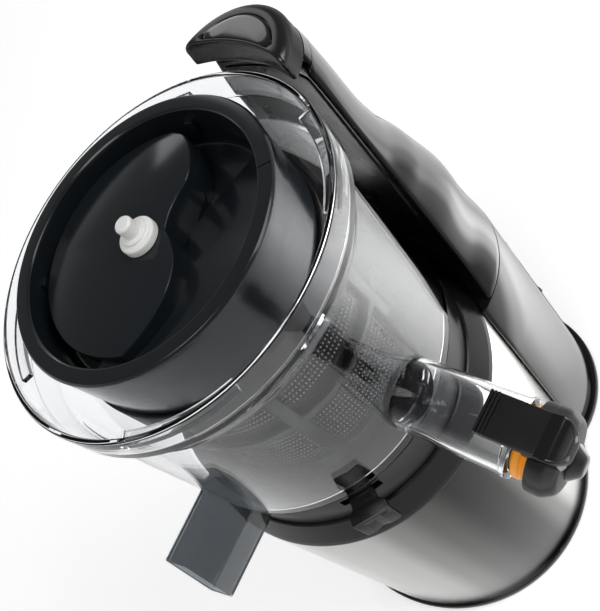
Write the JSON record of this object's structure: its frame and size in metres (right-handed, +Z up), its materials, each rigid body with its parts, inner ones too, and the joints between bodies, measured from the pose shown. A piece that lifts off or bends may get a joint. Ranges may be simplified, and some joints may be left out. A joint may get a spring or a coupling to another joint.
{
  "type": "vertical slow juicer",
  "caption": "Countertop vertical juicer: round stainless motor base, rear carrying column, clear juice bowl with tapped spout, pulp chute, strainer and wide-mouthed auger; lid off.",
  "frame": {"origin": "on the drive axis at floor level, under the middle of the motor base", "axes": "+Z up along the drive axis, +Y to the rear carrying column, +X to the juice spout, -Y to the pulp chute"},
  "size_m": [0.2249, 0.2407, 0.3255],
  "materials": {
    "foot_rubber": "matt",
    "black_gloss": "high gloss",
    "black_satin": "satin",
    "auger_grey": "gloss",
    "shell_steel": "brushed along the height",
    "clear_plastic": "clear, polished",
    "smoke_plastic": "smoke tinted, polished",
    "orange_silicone": "satin",
    "white_plastic": "satin",
    "bright_steel": "turned",
    "screw_steel": "plated",
    "gear_steel": "machined",
    "planet_nylon": "moulded",
    "case_aluminium": "cast",
    "motor_steel": "satin",
    "winding": "enamelled copper",
    "board_green": "satin",
    "mesh_steel": "perforated sheet"
  },
  "bodies": {
    "base": {"rubber_feet": "foot_rubber", "base_cover": "black_satin", "base_screws": "screw_steel", "steel_shell": "shell_steel", "seat_collar": "black_satin", "collar_screws": "screw_steel", "chassis": "black_satin", "column_lower": "black_gloss", "column_arm": "black_gloss", "arm_screws": "screw_steel", "arm_panel": "black_satin", "handle_hood": "black_gloss", "hood_inlay": "black_satin", "hood_screws": "screw_steel", "switch_bezel": "black_gloss", "cord_gland": "black_satin", "control_board": "board_green", "motor_can": "motor_steel", "motor_mount": "black_satin", "motor_screws": "screw_steel", "gear_case": "case_aluminium", "ring_gear": "gear_steel", "gear_cover": "case_aluminium", "gear_screws": "screw_steel", "shaft_bearing": "bright_steel", "shaft_seal": "orange_silicone"},
    "switch": {"switch_rocker": "black_satin"},
    "rotor": {"motor_shaft": "bright_steel", "motor_rotor": "winding", "cooling_fan": "black_satin", "sun_pinion": "gear_steel"},
    "stage_a": {"carrier_a": "gear_steel"},
    "planet_a1": {"planet_a1": "planet_nylon"},
    "planet_a2": {"planet_a2": "planet_nylon"},
    "planet_a3": {"planet_a3": "planet_nylon"},
    "drive": {"carrier_b": "gear_steel", "drive_shaft": "bright_steel"},
    "planet_b1": {"planet_b1": "planet_nylon"},
    "planet_b2": {"planet_b2": "planet_nylon"},
    "planet_b3": {"planet_b3": "planet_nylon"},
    "bowl": {"bowl": "clear_plastic", "bowl_ring": "black_satin", "bowl_gasket": "orange_silicone", "pulp_chute": "smoke_plastic", "pulp_pin": "bright_steel", "tap_pin": "bright_steel"},
    "tap": {"tap_lever": "black_gloss", "tap_knob": "black_gloss", "tap_seal": "orange_silicone"},
    "pulp_lever": {"pulp_lever": "black_satin"},
    "strainer": {"strainer_frame": "black_satin", "strainer_mesh": "mesh_steel"},
    "auger_bush": {"auger_bush": "white_plastic"},
    "auger": {"auger_screw": "auger_grey", "drive_socket": "bright_steel", "auger_drum": "auger_grey", "auger_plate": "auger_grey", "pin_flange": "white_plastic", "guide_pin": "white_plastic"}
  },
  "joints": [
    {"name": "switch_rock", "type": "hinge", "parent": "base", "child": "switch", "pos_m": [0, 0.10954, 0.095], "axis": [1, 0, 0], "range_deg": [-9, 9]},
    {"name": "rotor_spin", "type": "hinge", "parent": "base", "child": "rotor", "pos_m": [0, 0, 0.06], "axis": [0, 0, 1], "continuous": true},
    {"name": "stage_a_spin", "type": "hinge", "parent": "base", "child": "stage_a", "pos_m": [0, 0, 0.125], "axis": [0, 0, 1], "continuous": true},
    {"name": "drive_spin", "type": "hinge", "parent": "base", "child": "drive", "pos_m": [0, 0, 0.15], "axis": [0, 0, 1], "continuous": true},
    {"name": "planet_a1_spin", "type": "hinge", "parent": "stage_a", "child": "planet_a1", "pos_m": [0.0189, 0, 0.115], "axis": [0, 0, 1], "continuous": true},
    {"name": "planet_b1_spin", "type": "hinge", "parent": "drive", "child": "planet_b1", "pos_m": [0.0189, 0, 0.137], "axis": [0, 0, 1], "continuous": true},
    {"name": "planet_a2_spin", "type": "hinge", "parent": "stage_a", "child": "planet_a2", "pos_m": [-0.00945, 0.01637, 0.115], "axis": [0, 0, 1], "continuous": true},
    {"name": "planet_b2_spin", "type": "hinge", "parent": "drive", "child": "planet_b2", "pos_m": [-0.00945, 0.01637, 0.137], "axis": [0, 0, 1], "continuous": true},
    {"name": "planet_a3_spin", "type": "hinge", "parent": "stage_a", "child": "planet_a3", "pos_m": [-0.00945, -0.01637, 0.115], "axis": [0, 0, 1], "continuous": true},
    {"name": "planet_b3_spin", "type": "hinge", "parent": "drive", "child": "planet_b3", "pos_m": [-0.00945, -0.01637, 0.137], "axis": [0, 0, 1], "continuous": true},
    {"name": "bowl_lift", "type": "slide", "parent": "base", "child": "bowl", "axis": [0, 0, 1], "range_m": [0, 0.13]},
    {"name": "strainer_lift", "type": "slide", "parent": "bowl", "child": "strainer", "axis": [0, 0, 1], "range_m": [0, 0.13]},
    {"name": "auger_lift", "type": "slide", "parent": "strainer", "child": "auger_bush", "axis": [0, 0, 1], "range_m": [0, 0.13]},
    {"name": "auger_spin", "type": "hinge", "parent": "auger_bush", "child": "auger", "pos_m": [0, 0, 0.2], "axis": [0, 0, 1], "continuous": true},
    {"name": "tap_open", "type": "hinge", "parent": "bowl", "child": "tap", "pos_m": [0.11657, 0.00611, 0.18765], "axis": [-0.0523, 0.9986, 0], "range_deg": [0, 100]},
    {"name": "pulp_lever_swing", "type": "hinge", "parent": "bowl", "child": "pulp_lever", "pos_m": [0.05264, -0.03551, 0.19], "axis": [0, 0, 1], "range_deg": [-18, 18]}
  ],
  "couplings": [
    {"joint": "stage_a_spin", "follows": "rotor_spin", "ratio": 0.14286},
    {"joint": "drive_spin", "follows": "rotor_spin", "ratio": 0.020408},
    {"joint": "auger_spin", "follows": "rotor_spin", "ratio": 0.020408},
    {"joint": "planet_a1_spin", "follows": "rotor_spin", "ratio": -0.34286},
    {"joint": "planet_b1_spin", "follows": "rotor_spin", "ratio": -0.04898},
    {"joint": "planet_a2_spin", "follows": "rotor_spin", "ratio": -0.34286},
    {"joint": "planet_b2_spin", "follows": "rotor_spin", "ratio": -0.04898},
    {"joint": "planet_a3_spin", "follows": "rotor_spin", "ratio": -0.34286},
    {"joint": "planet_b3_spin", "follows": "rotor_spin", "ratio": -0.04898}
  ]
}
